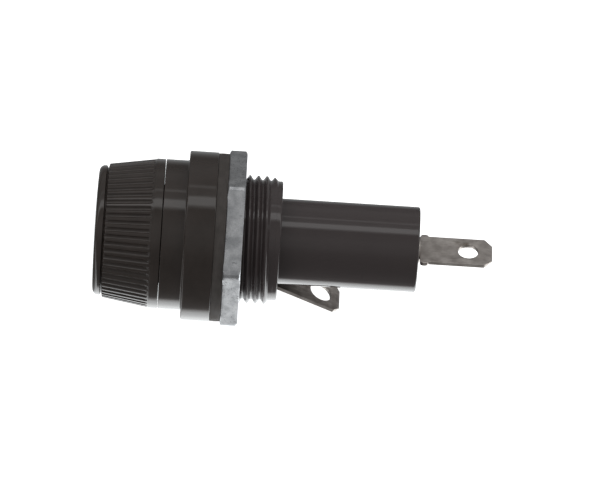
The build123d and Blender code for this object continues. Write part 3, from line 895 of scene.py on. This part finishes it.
CARRIED = {
    "front_contact": BRASS, "side_terminal_rivet": BRASS, "spring_seat": BRASS,
    "plunger_cup": BRASS, "fuse_clip": BRASS, "clip_rivet": BRASS,
    "fuse_element": WIRE, "fuse_solder_front": SOLDER, "fuse_solder_rear": SOLDER,
}
for node, material in CARRIED.items():
    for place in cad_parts[node].material_slots:
        place.material = material


# ---- camera

CAMERA_ELEVATION = 41.0
CAMERA_AZIMUTH = -1.04
CAMERA_ROLL = 4.28
CAMERA_DISTANCE = 750.0
FOCAL_PX = 6056.0
IMAGE_W = 600
SENSOR_W = 36.0
AIM_X = 10.61
AIM_UP = 0.297


def add_camera():
    """A camera nearly square to the axis, above it, rolled so that the axis dips right."""
    elevation, azimuth = math.radians(CAMERA_ELEVATION), math.radians(CAMERA_AZIMUTH)
    level = Vector((math.sin(azimuth), -math.cos(azimuth), 0))
    back = level * math.cos(elevation) + Vector((0, 0, math.sin(elevation)))
    up = Vector((0, 0, math.cos(elevation))) - level * math.sin(elevation)
    data = bpy.data.cameras.new("camera")
    data.sensor_width = SENSOR_W
    data.lens = FOCAL_PX / IMAGE_W * SENSOR_W
    data.clip_start = 0.01
    camera = bpy.data.objects.new("camera", data)
    bpy.context.scene.collection.objects.link(camera)
    aimed = back.to_track_quat("Z", "Y").to_matrix().to_4x4()
    roll = Matrix.Rotation(math.radians(CAMERA_ROLL), 4, "Z")
    place = (Vector((AIM_X, 0, 0)) + up * AIM_UP + back * CAMERA_DISTANCE) * MM
    camera.matrix_world = Matrix.Translation(place) @ aimed @ roll
    bpy.context.scene.camera = camera


# ---- studio: a white floor and backdrop, and long soft boxes along the axis

FLOOR_SIZE = 1400.0
BACKDROP_R = 1500.0

# (degrees about the axis from the near side, over the top, to the far side; brightness)
STUDIO = (
    (-180, 0.20), (-165, 0.35), (-141, 0.42), (-138, 1.60), (-120, 1.90), (-108, 2.60),
    (-88, 2.80), (-82, 1.80), (-78, 0.60), (-74, 0.35), (-60, 0.25), (-35, 0.22),
    (-10, 0.20), (15, 0.24), (30, 0.36), (50, 0.42), (62, 0.36), (78, 0.30), (82, 0.90),
    (84, 1.65), (95, 1.65), (97.5, 0.55), (109, 0.45), (110.8, 0.90), (113, 0.90),
    (115, 0.42), (145, 0.38), (157, 0.25), (168, 0.16), (176, 0.15), (180, 0.20),
)
STUDIO_PEAK = 3.0
STUDIO_LEAN_DEG = 150.0
STUDIO_LEAN_FROM = 0.13
FLOOR_DEG = -84
FLOOR_TINT = (0.965, 0.99, 1.0)


def glowing(name):
    """A plain white that lights itself."""
    material = bpy.data.materials.new(name)
    material.use_nodes = True
    shader = material.node_tree.nodes["Principled BSDF"]
    shader.inputs["Base Color"].default_value = (0.9, 0.9, 0.9, 1)
    shader.inputs["Specular IOR Level"].default_value = 0.0
    shader.inputs["Emission Color"].default_value = (1, 1, 1, 1)
    shader.inputs["Emission Strength"].default_value = 1.0
    return material


def show_to_camera_only(item):
    """Keeps an object out of reflections and lighting, where the studio's light stands for it."""
    item.visible_glossy = False
    item.visible_transmission = False
    item.visible_diffuse = False
    item.visible_shadow = False


def add_floor():
    """A plain white floor under the holder."""
    low_z = CAD_BOX[0][2] / MM - 0.05
    corners = [(-FLOOR_SIZE, -FLOOR_SIZE), (FLOOR_SIZE, -FLOOR_SIZE),
               (FLOOR_SIZE, FLOOR_SIZE), (-FLOOR_SIZE, FLOOR_SIZE)]
    mesh = bpy.data.meshes.new("floor")
    mesh.from_pydata([(x * MM, y * MM, low_z * MM) for x, y in corners], [], [(0, 1, 2, 3)])
    mesh.materials.append(glowing("floor"))
    floor = bpy.data.objects.new("floor", mesh)
    bpy.context.scene.collection.objects.link(floor)
    show_to_camera_only(floor)


def add_backdrop():
    """A white shell far around the scene that only the camera sees."""
    bm = bmesh.new()
    bmesh.ops.create_icosphere(bm, subdivisions=4, radius=BACKDROP_R * MM)
    mesh = bpy.data.meshes.new("backdrop")
    bm.to_mesh(mesh)
    bm.free()
    mesh.materials.append(glowing("backdrop"))
    backdrop = bpy.data.objects.new("backdrop", mesh)
    bpy.context.scene.collection.objects.link(backdrop)
    show_to_camera_only(backdrop)


def leaned(tree, angle, x):
    """The angle, taken further down in directions that lean well towards -X and below level."""
    terms = []
    for value in (x, angle):
        term = tree.nodes.new("ShaderNodeMath")
        term.operation = "MULTIPLY"
        term.use_clamp = True
        term.inputs[1].default_value = -1.0
        tree.links.new(value, term.inputs[0])
        terms.append(term.outputs[0])
    past = tree.nodes.new("ShaderNodeMath")
    past.operation = "SUBTRACT"
    past.use_clamp = True
    past.inputs[1].default_value = STUDIO_LEAN_FROM
    tree.links.new(terms[0], past.inputs[0])
    both = tree.nodes.new("ShaderNodeMath")
    both.operation = "MULTIPLY"
    tree.links.new(past.outputs[0], both.inputs[0])
    tree.links.new(terms[1], both.inputs[1])
    lower = tree.nodes.new("ShaderNodeMath")
    lower.operation = "MULTIPLY_ADD"
    lower.inputs[1].default_value = -math.radians(STUDIO_LEAN_DEG)
    tree.links.new(both.outputs[0], lower.inputs[0])
    tree.links.new(angle, lower.inputs[2])
    return lower.outputs[0]


def add_studio_light():
    """Light from all round the axis, its brightness set by STUDIO."""
    world = bpy.data.worlds.new("studio")
    bpy.context.scene.world = world
    world.use_nodes = True
    tree = world.node_tree
    split = tree.nodes.new("ShaderNodeSeparateXYZ")
    tree.links.new(tree.nodes.new("ShaderNodeTexCoord").outputs["Generated"], split.inputs[0])
    near = tree.nodes.new("ShaderNodeMath")
    near.operation = "MULTIPLY"
    near.inputs[1].default_value = -1.0
    tree.links.new(split.outputs["Y"], near.inputs[0])
    angle = tree.nodes.new("ShaderNodeMath")
    angle.operation = "ARCTAN2"
    tree.links.new(split.outputs["Z"], angle.inputs[0])
    tree.links.new(near.outputs[0], angle.inputs[1])
    share = between(tree, leaned(tree, angle.outputs[0], split.outputs["X"]), 0, 1,
                    -math.pi, math.pi)
    ramp = tree.nodes.new("ShaderNodeValToRGB")
    tree.links.new(share, ramp.inputs["Fac"])
    stops = ramp.color_ramp.elements
    for k, (degrees, bright) in enumerate(STUDIO):
        ends = {0: stops[0], len(STUDIO) - 1: stops[-1]}
        stop = ends.get(k) or stops.new((degrees + 180) / 360)
        tint = FLOOR_TINT if degrees < FLOOR_DEG else (1, 1, 1)
        stop.color = (*[bright / STUDIO_PEAK * t for t in tint], 1)
    background = tree.nodes["Background"]
    tree.links.new(ramp.outputs["Color"], background.inputs["Color"])
    background.inputs["Strength"].default_value = STUDIO_PEAK


add_camera()
add_floor()
add_backdrop()
add_studio_light()
bpy.context.scene.view_settings.view_transform = "Standard"
